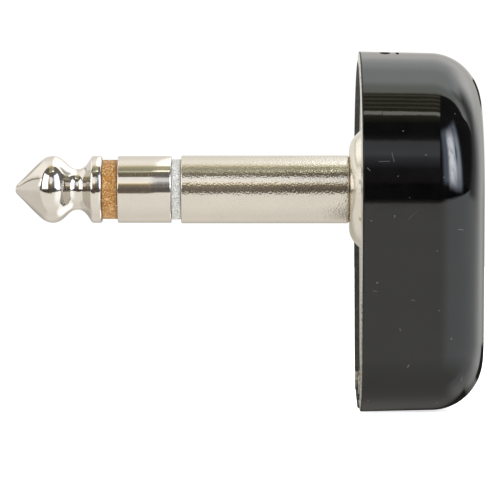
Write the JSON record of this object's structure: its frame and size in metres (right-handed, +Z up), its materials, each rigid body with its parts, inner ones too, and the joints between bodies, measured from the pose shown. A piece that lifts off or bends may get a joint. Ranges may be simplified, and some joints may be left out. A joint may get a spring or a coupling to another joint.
{
  "type": "right-angle phone plug",
  "caption": "Right-angle 6.35 mm tip-ring-sleeve phone plug with a low black cover screwed to a nickel base plate; the cable leaves at its narrow end.",
  "frame": {"origin": "where the plug's axis meets the flat back of the cover", "axes": "+X along the plug's axis from the tip towards the cover's back, +Y across the cover, +Z up, away from the cable end"},
  "size_m": [0.0434, 0.0258, 0.0335],
  "materials": {
    "nickel": "bright nickel plate on brass",
    "satin_nickel": "satin nickel plate with fine handling scratches",
    "brown_phenolic": "mottled brown phenolic",
    "white_insulator": "pale mottled insulator",
    "natural_nylon": "natural nylon tube",
    "red_fibre": "vulcanised fibre",
    "brass": "bare brass",
    "tinned": "tinned sheet brass",
    "screw_steel": "nickel-plated steel",
    "black_gloss": "deep gloss black enamel on die-cast zinc",
    "liner_card": "grey insulating card"
  },
  "bodies": {
    "plug": {"tip_contact": "nickel", "ring_contact": "nickel", "shoulder_hub": "nickel", "base_plate": "nickel", "barrel_nut": "nickel", "sleeve_barrel": "satin_nickel", "tip_insulator_collar": "brown_phenolic", "sleeve_insulator_collar": "white_insulator", "inner_insulating_tube": "natural_nylon", "outer_insulating_tube": "natural_nylon", "rear_insulating_washer": "red_fibre", "terminal_spacer": "red_fibre", "tip_rod": "brass", "rod_washer": "brass", "clamp_rivet_near": "brass", "clamp_rivet_far": "brass", "ground_terminal": "tinned", "ring_terminal": "tinned", "tip_terminal": "tinned", "cable_clamp": "tinned", "barrel_lock_washer": "screw_steel"},
    "cover": {"cover_shell": "black_gloss", "cover_liner": "liner_card"},
    "washer_near": {"screw_washer_near": "screw_steel"},
    "screw_near": {"cover_screw_near": "screw_steel"},
    "washer_far": {"screw_washer_far": "screw_steel"},
    "screw_far": {"cover_screw_far": "screw_steel"}
  },
  "joints": [
    {"name": "cover_lift", "type": "slide", "parent": "plug", "child": "cover", "axis": [1, 0, 0], "range_m": [0, 0.016]},
    {"name": "screw_near_back_out", "type": "slide", "parent": "plug", "child": "washer_near", "axis": [-1, 0, 0], "range_m": [0, 0.0025]},
    {"name": "screw_near_turn", "type": "hinge", "parent": "washer_near", "child": "screw_near", "pos_m": [-0.01219, -0.0059, -0.0181], "axis": [-1, 0, 0], "range_deg": [0, 3600]},
    {"name": "screw_far_back_out", "type": "slide", "parent": "plug", "child": "washer_far", "axis": [-1, 0, 0], "range_m": [0, 0.0025]},
    {"name": "screw_far_turn", "type": "hinge", "parent": "washer_far", "child": "screw_far", "pos_m": [-0.01219, 0.0059, -0.0181], "axis": [-1, 0, 0], "range_deg": [0, 3600]}
  ],
  "couplings": [
    {"joint": "screw_near_turn", "follows": "screw_near_back_out", "rad_per_m": 25133},
    {"joint": "screw_far_turn", "follows": "screw_far_back_out", "rad_per_m": 25133}
  ]
}
